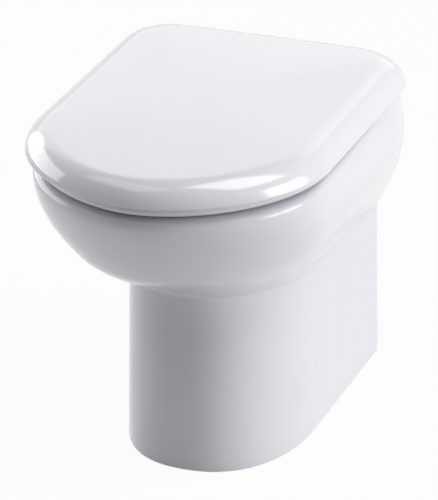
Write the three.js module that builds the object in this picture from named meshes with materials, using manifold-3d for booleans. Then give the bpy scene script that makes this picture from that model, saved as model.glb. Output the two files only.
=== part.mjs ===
// Back-to-wall toilet: a ceramic pan with a lift-up seat ring and a lift-up lid.
// Millimetres, +Z up. The wall is at the +Y end and the rounded front faces -Y.
// Every piece is drawn with y = 0 on the wall, and the whole is then moved forward
// so that the origin lies on the floor under its middle.

import * as THREE from 'three';
import { mergeVertices } from 'three/addons/utils/BufferGeometryUtils.js';
import Module from 'manifold-3d';

const wasm = await Module();
wasm.setup();

// Pan, outer form
const rimHeight = 390;
const panWidth = 344.4;
const panReach = 562.7;
const panWallWidth = 280;
const bodyNoseDepth = 168;
const rimRound = 10;
const skin = 12;
const deckThickness = 16;

// Pedestal
const footWidth = 221.6;
const footReach = 391.8;
const pedestalWidth = 213;
const pedestalReach = 393.7;
const pedestalNoseDepth = 158.5;
const creaseHeightAtWall = 201;
const creaseRise = 29.5;
const footFlange = 24;
const footFlangeHeight = 14;

// Bowl and rim opening
const rimSideWidth = 63.2;
const rimNoseWidth = 49.7;
const bowlSetback = 181;
const bowlNoseDepth = 150;
const bowlCorner = 92;
const rimLipDepth = 38;
const rimUndercut = 14;
const bowlShell = 11;
const wellHalfWidth = 46;
const wellRear = 236;
const wellFront = 312;
const wellFloor = 62;
const wellTaper = 16;
const sumpTaper = 2;

// Trap and outlet
const trapBore = 36;
const trapWall = 10;
const sumpLevel = 100;
const upLegSetback = 172;
const sumpBend = 55;
const crestBend = 50;
const crestLevel = 218;
const outletLevel = 185;
const outletSetback = 35;

// Flush inlet
const inletBore = 27.5;
const inletWall = 9;
const inletLevel = 318;
const inletSetback = 45;

// Seat ring
const seatGap = 4;
const ringThickness = 18;
const ringSideOverhang = 0.8;
const ringNoseOverhang = 3.3;
const ringRear = 112;
const ringCorner = 56;
const ringEdge = 6;
const holeSideInset = 4;
const holeNoseInset = 16;
const holeRearInset = 11;
const seatHoleNoseDepth = 145;
const seatHoleCorner = 88;
const seatHoleEdge = 7;

// Lid
const lidOverhang = 6;
const lidRearClearance = 2;
const lidLap = 5.2;
const lidNoseDepth = 174.7;
const lidCorner = 58;
const lidFrontRise = 29;
const lidRearRise = 36;
const lidCrown = 6;
const lidEdgeWidth = 34;
const lidFrontEdgeWidth = 22;
const lidRearEdgeWidth = 34;
const lidShell = 4;

// Hinges
const hingeSpacing = 155;
const hingeSetback = 65;
const bossWidth = 14;
const bossRadius = 5.5;
const postDepth = 10;
const flangeRadius = 16;
const flangeThickness = 3;
const gasketThickness = 1.5;
const knuckleRadius = 5.5;
const knuckleWidth = 17;
const knuckleEnd = 2;
const pinRadius = 3;
const armClearance = 2.4;

// Bolts under the deck
const boltRadius = 3;
const boltDepthInPost = 8;
const boltTail = 56;
const boltHoleRadius = 8;
const coneRadius = 14;
const coneTipRadius = 9;
const coneHeight = 12;
const nutRadius = 10;
const nutHeight = 14;
const wingSpan = 40;
const wingThickness = 4;
const wingDrop = 4;

// Bumpers
const bumperRadius = 9;
const lidBumperRadius = 7;
const lidBumperHeight = 4;
const rearBumperInset = 33;
const rearBumperSetback = 240;
const frontBumperInset = 78;
const frontBumperSpacing = 172;

// Running gap between pieces, how far a cutting form overruns what it cuts, and the least
// height of a triangle
const gap = 0.3;
const overrun = 6;
const needleWidth = 0.02;

// How the bulging body swells between the crease (0) and the shoulder (1):
// its side, its nose and its width on the wall, each as a share of its full growth.
const heightShares = [0, 0.107, 0.267, 0.48, 0.69, 0.91, 1];
const growthShares = [
  0, 0, 0,
  0.186, 0.231, 0.28,
  0.444, 0.515, 0.66,
  0.77, 0.696, 0.95,
  0.958, 0.832, 0.97,
  1, 0.96, 0.62,
  0.985, 1, 0.5,
];
const noseGrowthPower = 0.6;
const bodyRingShares = [0.05, 0.107, 0.18, 0.267, 0.37, 0.48, 0.585, 0.69, 0.8, 0.91, 1];
const swell = new THREE.CubicInterpolant(heightShares, growthShares, 3);

// The exponents of the rounded noses: 2 is an ellipse, less is more pointed
const footNosePower = 2.26;
const bodyNosePower = 1.84;
const openingNosePower = 2;

// How the sides draw in to the wall, and how their points are spread
const sideDrawPower = 3;
const sideSpreadPower = 1.3;

// The largest rear corner of a D outline, as a share of its half width
const largestCornerShare = 0.9;

// The rings of the lid's top, as shares of its size
const lidCrownShares = [0.75, 0.5, 0.25, 0.05];

const noseSteps = 11;
const sideSteps = 6;
const cornerSteps = 4;
const roundSteps = 3;
const lidEdgeSteps = 6;
const bendSteps = 4;

// Sizes that follow from these
const bowlHalfWidth = panWidth / 2 - rimSideWidth;
const bowlFront = panReach - rimNoseWidth;
const seatBase = rimHeight + seatGap;
const seatTop = seatBase + ringThickness;
const ringHalfWidth = panWidth / 2 + ringSideOverhang;
const ringFront = panReach + ringNoseOverhang;
const seatHoleHalfWidth = bowlHalfWidth - holeSideInset;
const seatHoleFront = bowlFront - holeNoseInset;
const seatHoleRear = bowlSetback + holeRearInset;
const hingeHeight = seatTop + knuckleRadius;
const lidHalfWidth = ringHalfWidth + lidOverhang;
const lidFront = ringFront + lidOverhang;
const lidRear = hingeSetback + knuckleRadius + lidRearClearance;
const lidBase = seatTop - lidLap;
const bumperSpots = [
  ['rear', ringHalfWidth - rearBumperInset, rearBumperSetback],
  ['front', frontBumperSpacing / 2, ringFront - frontBumperInset],
];

// Solids from rings and booleans

// A closed skin over rings of equal length, each ring running anticlockwise seen from above.
function loft(rings, closeOnItself = false) {
  const count = rings[0].length;
  const points = rings.flat();
  const faces = [];
  const levels = closeOnItself ? rings.length : rings.length - 1;
  for (let level = 0; level < levels; level++) {
    const low = level * count;
    const high = ((level + 1) % rings.length) * count;
    for (let i = 0; i < count; i++) {
      const next = (i + 1) % count;
      faces.push(low + i, low + next, high + next);
      faces.push(low + i, high + next, high + i);
    }
  }
  if (!closeOnItself) {
    closeRing(points, faces, rings[0], 0, false);
    closeRing(points, faces, rings.at(-1), (rings.length - 1) * count, true);
  }
  const geometry = new THREE.BufferGeometry();
  geometry.setAttribute('position', new THREE.Float32BufferAttribute(points.flatMap((p) => p.toArray()), 3));
  geometry.setIndex(faces);
  return geometry;
}

// Fills the first or last ring with a fan about its middle.
function closeRing(points, faces, ring, start, facesUp) {
  const middle = new THREE.Vector3();
  ring.forEach((p) => middle.add(p));
  middle.divideScalar(ring.length);
  const centre = points.push(middle) - 1;
  for (let i = 0; i < ring.length; i++) {
    const next = (i + 1) % ring.length;
    if (facesUp) faces.push(start + i, start + next, centre);
    else faces.push(start + next, start + i, centre);
  }
}

function solid(geometry) {
  const bare = geometry.clone();
  bare.deleteAttribute('normal');
  bare.deleteAttribute('uv');
  const merged = mergeVertices(bare);
  return new wasm.Manifold(new wasm.Mesh({
    numProp: 3,
    vertProperties: new Float32Array(merged.attributes.position.array),
    triVerts: new Uint32Array(merged.index.array),
  }));
}

// Cuts leave needle-thin triangles where two skins nearly coincide. Points closer than the needle
// width become one, and the long edge of a needle is turned to the other diagonal of its quad.
function fromSolid(manifold) {
  const mesh = manifold.getMesh();
  const points = [];
  for (let i = 0; i < mesh.vertProperties.length; i += 3) {
    points.push(new THREE.Vector3().fromArray(mesh.vertProperties, i));
  }
  const faces = turnNeedles(points, drawTogether(points, mesh.triVerts));
  const geometry = new THREE.BufferGeometry();
  const corners = faces.flat().flatMap((i) => points[i].toArray());
  geometry.setAttribute('position', new THREE.Float32BufferAttribute(corners, 3));
  return mergeVertices(geometry);
}

function drawTogether(points, corners) {
  const home = points.map((_, i) => i);
  const find = (i) => (home[i] === i ? i : find(home[i]));
  const faces = [];
  for (let i = 0; i < corners.length; i += 3) faces.push([corners[i], corners[i + 1], corners[i + 2]]);
  for (const face of faces) {
    face.forEach((p, k) => {
      const q = face[(k + 1) % 3];
      if (points[p].distanceTo(points[q]) < needleWidth) home[find(q)] = find(p);
    });
  }
  return faces.map((face) => face.map(find)).filter(([a, b, c]) => a !== b && b !== c && c !== a);
}

// The height of a triangle over its longest side.
function leastHeight(points, face) {
  const [a, b, c] = face.map((i) => points[i]);
  const longest = Math.max(a.distanceTo(b), b.distanceTo(c), c.distanceTo(a));
  return (2 * new THREE.Triangle(a, b, c).getArea()) / longest;
}

function turnNeedles(points, faces) {
  for (let turned = true; turned;) {
    turned = false;
    const owner = new Map();
    faces.forEach((face, f) => face.forEach((p, k) => owner.set(`${p} ${face[(k + 1) % 3]}`, f)));
    const used = new Set();
    for (let f = 0; f < faces.length; f++) {
      const height = leastHeight(points, faces[f]);
      if (height >= needleWidth) continue;
      const lengths = faces[f].map((p, k) => points[p].distanceTo(points[faces[f][(k + 1) % 3]]));
      const k = lengths.indexOf(Math.max(...lengths));
      const [p, q, r] = [faces[f][k], faces[f][(k + 1) % 3], faces[f][(k + 2) % 3]];
      const g = owner.get(`${q} ${p}`);
      if (used.has(f) || used.has(g)) continue;
      const s = faces[g].find((i) => i !== p && i !== q);
      if (owner.has(`${r} ${s}`) || owner.has(`${s} ${r}`)) continue;
      const pair = [[p, s, r], [s, q, r]];
      if (Math.min(...pair.map((face) => leastHeight(points, face))) <= height) continue;
      [faces[f], faces[g]] = pair;
      used.add(f).add(g);
      turned = true;
    }
  }
  return faces;
}

function boxBetween(x0, x1, y0, y1, z0, z1) {
  const box = new THREE.BoxGeometry(x1 - x0, y1 - y0, z1 - z0);
  return box.translate((x0 + x1) / 2, (y0 + y1) / 2, (z0 + z1) / 2);
}

// A rod along Z from one height to another, standing at x, y.
function rodUp(radius, x, y, z0, z1, sides = 24) {
  const rod = new THREE.CylinderGeometry(radius, radius, z1 - z0, sides);
  return rod.rotateX(Math.PI / 2).translate(x, y, (z0 + z1) / 2);
}

// A rod along X at y, z.
function rodAcross(radius, x0, x1, y, z, sides = 24) {
  const rod = new THREE.CylinderGeometry(radius, radius, x1 - x0, sides);
  return rod.rotateZ(Math.PI / 2).translate((x0 + x1) / 2, y, z);
}

// A rod along Y at x, z.
function rodBack(radius, x, z, y0, y1, sides = 24) {
  const rod = new THREE.CylinderGeometry(radius, radius, y1 - y0, sides);
  return rod.translate(x, (y0 + y1) / 2, z);
}

// Outlines seen from above

// The nose is a superellipse of the given depth: share 0 is where it leaves the side, 1 its tip.
function nosePoint(halfWidth, front, depth, power, share) {
  const angle = (share * Math.PI) / 2;
  return new THREE.Vector2(
    halfWidth * Math.cos(angle) ** (2 / power),
    -(front - depth) - depth * Math.sin(angle) ** (2 / power),
  );
}

// The left half mirrors the right half, whose points run from the rear to the front tip.
function mirrored(half) {
  const tip = half.at(-1);
  const rightFromFront = half.slice(0, -1).reverse();
  const left = half.slice(0, -1).filter((p) => p.x > 0).map((p) => new THREE.Vector2(-p.x, p.y));
  return [...left, new THREE.Vector2(0, tip.y), ...rightFromFront];
}

// The body's outline: open sides that draw in to the wall, and a rounded nose.
function bodyOutline(halfWidth, front, wallHalfWidth, depth, power, rear = 0) {
  const half = [new THREE.Vector2(wallHalfWidth, rear)];
  const straight = front - depth;
  for (let i = 1; i < sideSteps; i++) {
    const share = (i / sideSteps) ** sideSpreadPower;
    const draw = 1 - (1 - share) ** sideDrawPower;
    half.push(new THREE.Vector2(wallHalfWidth + (halfWidth - wallHalfWidth) * draw, -straight * share));
  }
  for (let i = 0; i <= noseSteps; i++) half.push(nosePoint(halfWidth, front, depth, power, i / noseSteps));
  return mirrored(half);
}

// The D outline of the rim opening, the seat ring and the lid: rounded rear corners and nose.
function dOutline(halfWidth, front, rear, depth, power, cornerRadius) {
  const corner = Math.min(cornerRadius, halfWidth * largestCornerShare);
  const half = [new THREE.Vector2(0, -rear), new THREE.Vector2((halfWidth - corner) / 2, -rear)];
  for (let i = 0; i <= cornerSteps; i++) {
    const angle = (i / cornerSteps) * (Math.PI / 2);
    half.push(new THREE.Vector2(
      halfWidth - corner + corner * Math.sin(angle),
      -rear - corner + corner * Math.cos(angle),
    ));
  }
  const sideStart = -rear - corner;
  const sideEnd = -(front - depth);
  half.push(new THREE.Vector2(halfWidth, (sideStart + sideEnd) / 2));
  for (let i = 0; i <= noseSteps; i++) half.push(nosePoint(halfWidth, front, depth, power, i / noseSteps));
  return mirrored(half);
}

const atHeight = (outline, z) => outline.map((p) => new THREE.Vector3(p.x, p.y, z));

// Pan

const creaseSlope = creaseRise / pedestalReach;
const shoulderHeight = rimHeight - rimRound;
const creaseAt = (y) => creaseHeightAtWall + creaseSlope * Math.abs(Math.min(y, 0));

// One ring of the swelling body, drawn in by inset, its crease end sloping to the wall.
function bodyRing(share, inset, top, rear) {
  const [side, nose, wall] = swell.evaluate(share);
  const outline = bodyOutline(
    THREE.MathUtils.lerp(pedestalWidth, panWidth, side) / 2 - inset,
    THREE.MathUtils.lerp(pedestalReach, panReach, nose) - inset,
    THREE.MathUtils.lerp(pedestalWidth, panWallWidth, wall) / 2 - inset,
    THREE.MathUtils.lerp(pedestalNoseDepth, bodyNoseDepth, share ** noseGrowthPower),
    THREE.MathUtils.lerp(footNosePower, bodyNosePower, share),
    rear,
  );
  return outline.map((p) => new THREE.Vector3(p.x, p.y, THREE.MathUtils.lerp(creaseAt(p.y), top, share)));
}

function footRing(inset, z, rear) {
  const outline = bodyOutline(
    footWidth / 2 - inset, footReach - inset, footWidth / 2 - inset, pedestalNoseDepth, footNosePower, rear,
  );
  return atHeight(outline, z);
}

function panBody() {
  const rings = [footRing(0, 0, 0), bodyRing(0, 0, shoulderHeight, 0)];
  bodyRingShares.forEach((share) => rings.push(bodyRing(share, 0, shoulderHeight, 0)));
  for (let i = 1; i <= roundSteps; i++) {
    const angle = (i / roundSteps) * (Math.PI / 2);
    const ring = bodyRing(1, rimRound * (1 - Math.cos(angle)), shoulderHeight, 0);
    ring.forEach((p) => p.setZ(shoulderHeight + rimRound * Math.sin(angle)));
    rings.push(ring);
  }
  return solid(loft(rings));
}

// The space inside the thin walls, open under the foot and on the wall side.
function panHollow() {
  const ceiling = rimHeight - deckThickness;
  const rings = [
    footRing(footFlange, -overrun, overrun),
    footRing(footFlange, footFlangeHeight, overrun),
    footRing(skin, footFlangeHeight + footFlange - skin, overrun),
  ];
  heightShares.forEach((share) => rings.push(bodyRing(share, skin, ceiling, overrun)));
  return solid(loft(rings));
}

// How far the bowl has come from the rim opening (0) to the well (1), from the well's floor
// upward: at the side, at the front and at the rear.
const bowlFallShares = [
  [1, 1, 1],
  [1, 1, 1],
  [0.78, 0.88, 0.78],
  [0.5, 0.75, 0.48],
  [0.24, 0.38, 0.1],
  [0.05, 0.15, -0.12],
];
// The heights of the upper levels, from the trap's crest (0) to the underside of the rim (1)
const bowlHeightShares = [0.12, 0.35, 0.65];

// One level of the bowl, widened all round by grow.
function bowlRing([side, front, rear], grow, z) {
  const halfWidth = THREE.MathUtils.lerp(bowlHalfWidth, wellHalfWidth, side) + grow;
  const reach = THREE.MathUtils.lerp(bowlFront, wellFront, front) + grow;
  const back = THREE.MathUtils.lerp(bowlSetback, wellRear, rear) - grow;
  const lengthShare = (reach - back) / (bowlFront - bowlSetback);
  return atHeight(dOutline(
    halfWidth, reach, back, bowlNoseDepth * lengthShare, openingNosePower, bowlCorner * lengthShare,
  ), z);
}

// The bowl's inside, or with a wall its outside: the well, the bowl, and the rim's undercut lip.
function bowlForm(wall) {
  const underLip = rimHeight - rimLipDepth;
  const heights = [wellFloor - wall, sumpLevel, crestLevel - trapBore];
  bowlHeightShares.forEach((share) => heights.push(THREE.MathUtils.lerp(crestLevel, underLip, share)));
  const tapers = [wellTaper, sumpTaper];
  const rings = bowlFallShares.map((shares, i) => bowlRing(shares, wall - (tapers[i] ?? 0), heights[i]));
  const open = [0, 0, 0];
  rings.push(
    bowlRing(open, wall + rimUndercut, underLip + wall),
    bowlRing(open, wall, underLip + wall + gap),
    bowlRing(open, wall, rimHeight + overrun),
  );
  return solid(loft(rings));
}

// The S-shaped waterway: back from the sump, up, over the crest and down to the outlet.
function trapRoute(end) {
  const route = [];
  const at = (y, z) => route.push(new THREE.Vector3(0, y, z));
  at(-(wellRear + wellFront) / 2, sumpLevel);
  const bendStart = -upLegSetback - sumpBend;
  for (let i = 0; i <= bendSteps; i++) {
    const angle = (i / bendSteps) * (Math.PI / 2);
    at(bendStart + sumpBend * Math.sin(angle), sumpLevel + sumpBend * (1 - Math.cos(angle)));
  }
  const crestStart = crestLevel - crestBend;
  for (let i = 0; i <= bendSteps; i++) {
    const angle = (i / bendSteps) * (Math.PI / 2);
    at(-upLegSetback + crestBend * (1 - Math.cos(angle)), crestStart + crestBend * Math.sin(angle));
  }
  const fall = crestLevel - outletLevel;
  const turn = Math.acos(1 - fall / 2 / crestBend);
  const crestEnd = -upLegSetback + crestBend;
  at(crestEnd + crestBend * Math.sin(turn / 2), crestLevel - crestBend * (1 - Math.cos(turn / 2)));
  at(crestEnd + crestBend * Math.sin(turn), crestLevel - fall / 2);
  at(crestEnd + crestBend * (2 * Math.sin(turn) - Math.sin(turn / 2)),
    outletLevel + crestBend * (1 - Math.cos(turn / 2)));
  at(crestEnd + 2 * crestBend * Math.sin(turn), outletLevel);
  at(-end, outletLevel);
  return new THREE.CatmullRomCurve3(route, false, 'centripetal');
}

function tubeAlong(route, radius, sides, steps) {
  const section = new THREE.Shape();
  for (let i = 0; i < sides; i++) {
    const angle = ((i + 0.5) / sides) * Math.PI * 2;
    const x = radius * Math.cos(angle);
    const y = radius * Math.sin(angle);
    if (i === 0) section.moveTo(x, y);
    else section.lineTo(x, y);
  }
  return solid(new THREE.ExtrudeGeometry(section, { steps, bevelEnabled: false, extrudePath: route }));
}

function pan() {
  const outerTrap = tubeAlong(trapRoute(outletSetback), trapBore + trapWall, 18, 24);
  const innerTrap = tubeAlong(trapRoute(outletSetback - overrun), trapBore, 16, 24);
  const bowlWallAtInlet = bowlSetback - rimUndercut;
  const outerInlet = solid(rodBack(inletBore + inletWall, 0, inletLevel, -bowlWallAtInlet, -inletSetback));
  const innerInlet = solid(rodBack(
    inletBore, 0, inletLevel, -bowlWallAtInlet - skin, -inletSetback + overrun,
  ));
  const body = panBody();
  const shell = bowlForm(bowlShell).add(outerTrap).add(outerInlet).intersect(body);
  let form = body.subtract(panHollow()).add(shell);
  form = form.subtract(bowlForm(0)).subtract(innerTrap).subtract(innerInlet);
  for (const side of [-1, 1]) {
    form = form.subtract(solid(rodUp(
      boltHoleRadius, (side * hingeSpacing) / 2, -hingeSetback,
      rimHeight - deckThickness - overrun, rimHeight + overrun,
    )));
  }
  return fromSolid(form);
}

// Seat ring

function ringLoop(inset, z) {
  return atHeight(dOutline(
    ringHalfWidth - inset, ringFront - inset, ringRear + inset, lidNoseDepth, bodyNosePower,
    ringCorner - inset / 2,
  ), z);
}

function seatHoleLoop(inset, z) {
  return atHeight(dOutline(
    seatHoleHalfWidth + inset, seatHoleFront + inset, seatHoleRear - inset, seatHoleNoseDepth,
    openingNosePower, seatHoleCorner,
  ), z);
}

// Where the inner and outer knuckles of a hinge lie along the axis, from the middle of the toilet
const innerKnuckleEnd = hingeSpacing / 2 - bossWidth / 2 - 2 * gap;
const innerKnuckleStart = innerKnuckleEnd - knuckleWidth;
const outerKnuckleStart = hingeSpacing / 2 + bossWidth / 2 + 2 * gap;
const outerKnuckleEnd = outerKnuckleStart + knuckleWidth;
const flangeTop = rimHeight + gasketThickness + 2 * gap + flangeThickness;

// A block or a rod that spans the same stretch of x on the left (-1) or the right (1).
const startOn = (side, near, far) => (side > 0 ? near : -far);

// The hinge arm of the ring: a bar back from its rear edge, under the edge of the lid,
// and a web from there up to the knuckle on the hinge axis.
function seatArm(side) {
  const x0 = startOn(side, innerKnuckleStart, innerKnuckleEnd);
  const x1 = x0 + knuckleWidth;
  const low = flangeTop + armClearance;
  const rear = -hingeSetback + knuckleRadius;
  const bar = solid(boxBetween(x0, x1, -ringRear - ringEdge, rear, low, lidBase - 2 * gap));
  const web = solid(boxBetween(x0, x1, rear - 2 * knuckleRadius, rear, low, hingeHeight));
  const knuckle = solid(rodAcross(knuckleRadius, x0, x1, -hingeSetback, hingeHeight));
  return bar.add(web).add(knuckle);
}

// The blind bore of a knuckle, open towards the post.
function pinBore(side, near, far, opensInward) {
  const from = opensInward ? near - overrun : near + knuckleEnd;
  const to = opensInward ? far - knuckleEnd : far + overrun;
  const x0 = startOn(side, from, to);
  return solid(rodAcross(pinRadius + gap, x0, x0 + to - from, -hingeSetback, hingeHeight));
}

function seatRing() {
  const rings = [
    ringLoop(ringEdge / 2, seatBase),
    ringLoop(0, seatBase + ringEdge / 2),
    ringLoop(0, seatTop - ringEdge),
    ringLoop(ringEdge * (1 - Math.cos(Math.PI / 4)), seatTop - ringEdge * (1 - Math.sin(Math.PI / 4))),
    ringLoop(ringEdge, seatTop),
    seatHoleLoop(seatHoleEdge, seatTop),
    seatHoleLoop(
      seatHoleEdge * (1 - Math.cos(Math.PI / 4)), seatTop - seatHoleEdge * (1 - Math.sin(Math.PI / 4)),
    ),
    seatHoleLoop(0, seatTop - seatHoleEdge),
    seatHoleLoop(0, seatBase + ringEdge / 2),
    seatHoleLoop(ringEdge / 2, seatBase),
  ];
  let form = solid(loft(rings, true));
  for (const side of [-1, 1]) {
    form = form.add(seatArm(side)).subtract(pinBore(side, innerKnuckleStart, innerKnuckleEnd, false));
  }
  return fromSolid(form);
}

// Lid

// How far the top stands over the lower edge: it falls from the rear to the front.
const lidRiseAt = (y) => THREE.MathUtils.mapLinear(-y, lidRear, lidFront, lidRearRise, lidFrontRise);

// The lid's outline drawn in by a share of its rounded edge, and by the shell for its inside,
// and lifted by a share of its rise. The top is crowned within that.
function lidRing(edgeShare, thickness, riseShare, crownShare = 1) {
  const inset = lidEdgeWidth * edgeShare + thickness;
  const front = lidFront - lidFrontEdgeWidth * edgeShare - thickness;
  const rear = lidRear + lidRearEdgeWidth * edgeShare + thickness;
  const outline = dOutline(
    lidHalfWidth - inset, front, rear, lidNoseDepth - inset / 2, bodyNosePower, lidCorner - inset / 2,
  );
  const middle = (front + rear) / 2;
  return outline.map((p) => {
    const y = -middle + (p.y + middle) * crownShare;
    const rise = (lidRiseAt(y) - thickness) * riseShare;
    return new THREE.Vector3(p.x * crownShare, y, lidBase + rise + lidCrown * (1 - crownShare ** 2));
  });
}

function lidForm(thickness, base) {
  const rings = [];
  if (base < lidBase) rings.push(lidRing(0, thickness, 0).map((p) => p.setZ(base)));
  for (let i = 0; i <= lidEdgeSteps; i++) {
    const angle = (i / lidEdgeSteps) * (Math.PI / 2);
    rings.push(lidRing(1 - Math.cos(angle), thickness, Math.sin(angle)));
  }
  lidCrownShares.forEach((share) => rings.push(lidRing(1, thickness, 1, share)));
  return solid(loft(rings));
}

// The lug that carries the lid: from its rear edge back to the knuckle on the hinge axis.
function lidLug(side) {
  const x0 = startOn(side, outerKnuckleStart, outerKnuckleEnd);
  const knuckle = solid(rodAcross(knuckleRadius, x0, x0 + knuckleWidth, -hingeSetback, hingeHeight));
  return knuckle.add(solid(boxBetween(
    x0, x0 + knuckleWidth, -lidRear - lidShell - gap, -hingeSetback,
    hingeHeight - knuckleRadius, hingeHeight + knuckleRadius,
  )));
}

function lid() {
  const outside = lidForm(0, lidBase);
  const ceiling = lidBase + lidRearRise;
  let form = outside.subtract(lidForm(lidShell, lidBase - overrun));
  for (const side of [-1, 1]) {
    for (const [, x, y] of bumperSpots) {
      const foot = solid(rodUp(lidBumperRadius, side * x, -y, seatTop + lidBumperHeight, ceiling, 16));
      form = form.add(foot.intersect(outside));
    }
    form = form.add(lidLug(side)).subtract(pinBore(side, outerKnuckleStart, outerKnuckleEnd, true));
  }
  return fromSolid(form);
}

// Hinge pieces, each standing on a vertical line through its bolt

function hingePost() {
  const base = flangeTop - flangeThickness;
  const flange = solid(rodUp(flangeRadius, 0, 0, base, flangeTop, 32));
  const pillar = solid(boxBetween(
    -bossWidth / 2, bossWidth / 2, -postDepth / 2, postDepth / 2, base, hingeHeight,
  ));
  const boss = solid(rodAcross(bossRadius, -bossWidth / 2, bossWidth / 2, 0, hingeHeight));
  const crossBore = solid(rodAcross(
    pinRadius + gap, -bossWidth / 2 - overrun, bossWidth / 2 + overrun, 0, hingeHeight,
  ));
  const boltBore = solid(rodUp(boltRadius + gap, 0, 0, base - overrun, base + boltDepthInPost + gap, 16));
  return fromSolid(flange.add(pillar).add(boss).subtract(crossBore).subtract(boltBore));
}

function hingeGasket() {
  const low = rimHeight + gap;
  const profile = [
    new THREE.Vector2(boltHoleRadius, low),
    new THREE.Vector2(flangeRadius, low),
    new THREE.Vector2(flangeRadius, low + gasketThickness),
    new THREE.Vector2(boltHoleRadius, low + gasketThickness),
    new THREE.Vector2(boltHoleRadius, low),
  ];
  return new THREE.LatheGeometry(profile, 28).rotateX(Math.PI / 2);
}

function hingePin() {
  const half = outerKnuckleEnd - hingeSpacing / 2 - knuckleEnd - gap;
  return rodAcross(pinRadius, -half, half, 0, hingeHeight);
}

const deckUnderside = rimHeight - deckThickness;

function hingeBolt() {
  const top = flangeTop - flangeThickness + boltDepthInPost;
  return rodUp(boltRadius, 0, 0, deckUnderside - boltTail, top, 16);
}

// The cone stands with its broad end up against the underside of the deck.
function coneWasher() {
  const high = -(deckUnderside - gap);
  const profile = [
    new THREE.Vector2(boltRadius + gap, high),
    new THREE.Vector2(coneRadius, high),
    new THREE.Vector2(coneTipRadius, high + coneHeight),
    new THREE.Vector2(boltRadius + gap, high + coneHeight),
    new THREE.Vector2(boltRadius + gap, high),
  ];
  return new THREE.LatheGeometry(profile, 20).rotateX(-Math.PI / 2);
}

function wingNut() {
  const top = deckUnderside - coneHeight - 2 * gap;
  const hub = solid(rodUp(nutRadius, 0, 0, top - nutHeight, top, 20));
  const wings = solid(boxBetween(
    -wingSpan / 2, wingSpan / 2, -wingThickness / 2, wingThickness / 2,
    top - nutHeight - wingDrop, top - wingDrop,
  ));
  const bore = solid(rodUp(boltRadius + gap, 0, 0, top - nutHeight - wingDrop - overrun, top + overrun, 16));
  return fromSolid(hub.add(wings).subtract(bore));
}

// Materials

const glazed = new THREE.MeshStandardMaterial({ color: 0xf1f1f3, roughness: 0.1, metalness: 0 });
const seatPlastic = new THREE.MeshStandardMaterial({ color: 0xf3f3f5, roughness: 0.22, metalness: 0 });
const chrome = new THREE.MeshStandardMaterial({ color: 0xd0d2d4, roughness: 0.12, metalness: 1 });
const zincPlate = new THREE.MeshStandardMaterial({ color: 0xb4b7ba, roughness: 0.35, metalness: 1 });
const paleRubber = new THREE.MeshStandardMaterial({ color: 0xd9d9d6, roughness: 0.7, metalness: 0 });
const darkRubber = new THREE.MeshStandardMaterial({ color: 0x2b2b2d, roughness: 0.75, metalness: 0 });
const nylon = new THREE.MeshStandardMaterial({ color: 0xe9e8e4, roughness: 0.45, metalness: 0 });

function piece(name, geometry, material) {
  const mesh = new THREE.Mesh(geometry, material.clone());
  mesh.name = name;
  return mesh;
}

// Assembly: the pan, the seat hung on the hinge axis, and the lid hung on the same axis.
const toilet = new THREE.Group();
toilet.name = 'back_to_wall_toilet';
toilet.position.y = lidFront / 2;

toilet.add(piece('pan', pan(), glazed));

for (const [tag, side] of [['left', -1], ['right', 1]]) {
  const stand = new THREE.Group();
  stand.position.set((side * hingeSpacing) / 2, -hingeSetback, 0);
  stand.add(
    piece(`hinge_post_${tag}`, hingePost(), chrome),
    piece(`hinge_gasket_${tag}`, hingeGasket(), paleRubber),
    piece(`hinge_pin_${tag}`, hingePin(), zincPlate),
    piece(`hinge_bolt_${tag}`, hingeBolt(), zincPlate),
    piece(`cone_washer_${tag}`, coneWasher(), darkRubber),
    piece(`wing_nut_${tag}`, wingNut(), nylon),
  );
  toilet.add(stand);
}

const seat = new THREE.Group();
seat.position.set(0, -hingeSetback, hingeHeight);
const cover = new THREE.Group();
seat.add(cover);
toilet.add(seat);

// A piece drawn in the wall's frame hangs in a group whose origin lies on the hinge axis.
function hang(group, mesh) {
  mesh.position.set(0, hingeSetback, -hingeHeight);
  group.add(mesh);
}

hang(seat, piece('seat_ring', seatRing(), seatPlastic));
hang(cover, piece('lid', lid(), seatPlastic));

for (const [tag, side] of [['left', -1], ['right', 1]]) {
  for (const [place, x, y] of bumperSpots) {
    hang(seat, piece(
      `seat_bumper_${place}_${tag}`,
      rodUp(bumperRadius, side * x, -y, rimHeight + gap, seatBase - gap, 20),
      paleRubber,
    ));
    hang(cover, piece(
      `lid_bumper_${place}_${tag}`,
      rodUp(lidBumperRadius, side * x, -y, seatTop + gap, seatTop + lidBumperHeight - gap, 16),
      paleRubber,
    ));
  }
}

export default toilet;
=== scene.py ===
import math
import bpy
import bmesh
from mathutils import Matrix, Vector


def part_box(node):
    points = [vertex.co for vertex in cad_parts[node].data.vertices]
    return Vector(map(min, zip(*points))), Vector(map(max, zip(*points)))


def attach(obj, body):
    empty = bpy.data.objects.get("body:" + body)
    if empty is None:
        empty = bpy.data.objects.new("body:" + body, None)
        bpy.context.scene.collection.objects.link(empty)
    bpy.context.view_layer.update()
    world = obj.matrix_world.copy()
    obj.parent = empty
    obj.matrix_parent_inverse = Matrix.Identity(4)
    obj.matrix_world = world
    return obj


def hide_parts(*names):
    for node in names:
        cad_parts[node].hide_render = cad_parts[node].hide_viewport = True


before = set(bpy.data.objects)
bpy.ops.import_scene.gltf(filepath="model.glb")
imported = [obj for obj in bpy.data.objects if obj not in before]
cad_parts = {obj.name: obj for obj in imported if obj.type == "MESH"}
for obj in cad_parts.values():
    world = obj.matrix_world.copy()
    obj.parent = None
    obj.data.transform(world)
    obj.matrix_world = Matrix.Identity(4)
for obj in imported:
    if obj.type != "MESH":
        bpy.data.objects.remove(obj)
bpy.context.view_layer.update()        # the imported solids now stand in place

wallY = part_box("pan")[1].y        # the pan's back stands on this plane
mm = 0.001        # the object's sizes are in millimetres, its finishes' and the studio's in metres
weldGap = 0.01 * mm        # corners closer than this are made one
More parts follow.
